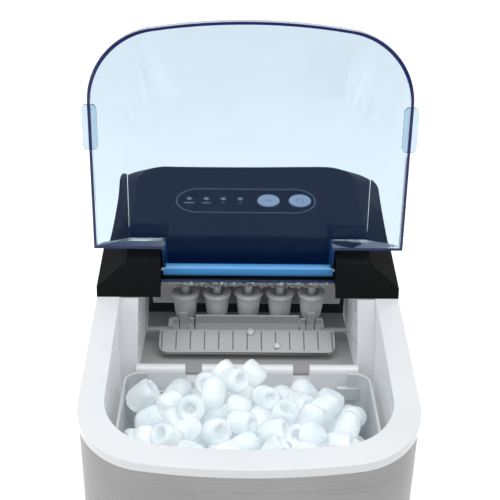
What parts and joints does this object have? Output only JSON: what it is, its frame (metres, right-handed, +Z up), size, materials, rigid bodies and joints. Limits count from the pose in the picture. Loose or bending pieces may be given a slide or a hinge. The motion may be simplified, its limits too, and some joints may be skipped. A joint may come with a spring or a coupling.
{
  "type": "portable ice maker",
  "caption": "Countertop ice maker: bowed steel body, white rim, lift-out basket, tipping water tray with freezing fingers, black control housing and a clear blue lid, open.",
  "frame": {"origin": "centre of the bounding box's footprint, on the surface that the feet stand on", "axes": "+Z up, the bowed front faces -Y, +X to the right of someone facing the front"},
  "size_m": [0.253, 0.358, 0.4918],
  "materials": {
    "white_plastic": "gloss",
    "grey_plastic": "satin",
    "basket_plastic": "satin",
    "black_plastic": "gloss",
    "base_plastic": "satin",
    "clear_blue": "polished",
    "steel": "brushed",
    "painted_steel": "satin",
    "compressor_paint": "painted",
    "rubber": "matte",
    "copper": "satin",
    "plated": "polished",
    "aluminium": "satin",
    "foam": "matte",
    "circuit": "satin",
    "component": "satin",
    "panel_black": "gloss",
    "trim_silver": "satin",
    "lamp": "gloss",
    "button_grey": "satin",
    "hose": "satin"
  },
  "bodies": {
    "cabinet": {"base_pan": "base_plastic", "rubber_feet": "rubber", "steel_wrap": "steel", "left_vent_grille": "base_plastic", "right_vent_grille": "base_plastic", "rear_panel": "painted_steel", "cord_gland": "rubber", "rear_panel_screws": "plated", "top_rim": "white_plastic", "reservoir_tub": "white_plastic", "insulation_foam": "foam", "ice_chamber": "white_plastic", "chamber_floor": "grey_plastic", "chamber_back": "grey_plastic", "ir_sensors": "component", "evaporator_tube": "plated", "evaporator_fingers": "plated", "tray_motor": "plated", "control_housing": "black_plastic", "panel_trim_ring": "trim_silver", "control_overlay": "panel_black", "indicator_lamps": "lamp", "tact_switches": "component", "control_board": "circuit", "main_board": "circuit", "board_components": "component", "lid_hinge_rod": "plated", "compressor": "compressor_paint", "compressor_cover": "base_plastic", "compressor_bracket": "painted_steel", "rubber_grommets": "rubber", "compressor_bolts": "plated", "condenser_fins": "aluminium", "condenser_tube": "copper", "fan_shroud": "base_plastic", "fan_motor": "component", "suction_line": "copper", "discharge_line": "copper", "filter_drier": "copper", "capillary_tube": "copper", "liquid_line": "copper", "hot_gas_valve": "component", "hot_gas_line": "copper", "water_pump": "component", "suction_hose": "hose", "fill_hose": "hose", "fill_nozzle": "white_plastic", "drain_tube": "hose", "drain_spout": "white_plastic"},
    "lid": {"lid": "clear_blue"},
    "tray": {"water_tray": "grey_plastic", "tray_pins": "grey_plastic"},
    "pusher": {"ice_pusher": "grey_plastic"},
    "basket": {"ice_basket": "basket_plastic"},
    "select_key": {"select_button": "button_grey"},
    "power_key": {"power_button": "button_grey"},
    "fan": {"fan_blades": "base_plastic"},
    "impeller": {"pump_impeller": "white_plastic"},
    "drain_plug": {"drain_cap": "white_plastic"}
  },
  "joints": [
    {"name": "lid_hinge", "type": "hinge", "parent": "cabinet", "child": "lid", "pos_m": [0, 0.0175, 0.2907], "axis": [-1, 0, 0], "range_deg": [-103.47, 0]},
    {"name": "tray_tilt", "type": "hinge", "parent": "cabinet", "child": "tray", "pos_m": [0, 0.048, 0.2575], "axis": [-1, 0, 0], "range_deg": [0, 85]},
    {"name": "pusher_swing", "type": "hinge", "parent": "cabinet", "child": "pusher", "pos_m": [0, 0.048, 0.2575], "axis": [-1, 0, 0], "range_deg": [0, 35]},
    {"name": "basket_lift", "type": "slide", "parent": "cabinet", "child": "basket", "axis": [0, 0, 1], "range_m": [0, 0.16]},
    {"name": "select_press", "type": "slide", "parent": "cabinet", "child": "select_key", "axis": [0, 0.1354, -0.9908], "range_m": [0, 0.0011], "stiffness_N_per_m": 400, "springref_m": -0.0012},
    {"name": "power_press", "type": "slide", "parent": "cabinet", "child": "power_key", "axis": [0, 0.1354, -0.9908], "range_m": [0, 0.0011], "stiffness_N_per_m": 400, "springref_m": -0.0012},
    {"name": "fan_spin", "type": "hinge", "parent": "cabinet", "child": "fan", "pos_m": [0.044, 0.127, 0.096], "axis": [0, 1, 0], "continuous": true},
    {"name": "impeller_spin", "type": "hinge", "parent": "cabinet", "child": "impeller", "pos_m": [0.076, 0.02, 0.034], "axis": [0, 0, 1], "continuous": true},
    {"name": "drain_cap_pull", "type": "slide", "parent": "cabinet", "child": "drain_plug", "axis": [1, 0, 0], "range_m": [0, 0.025]}
  ],
  "couplings": [
    {"joint": "pusher_swing", "follows": "tray_tilt", "ratio": 0.41176}
  ]
}
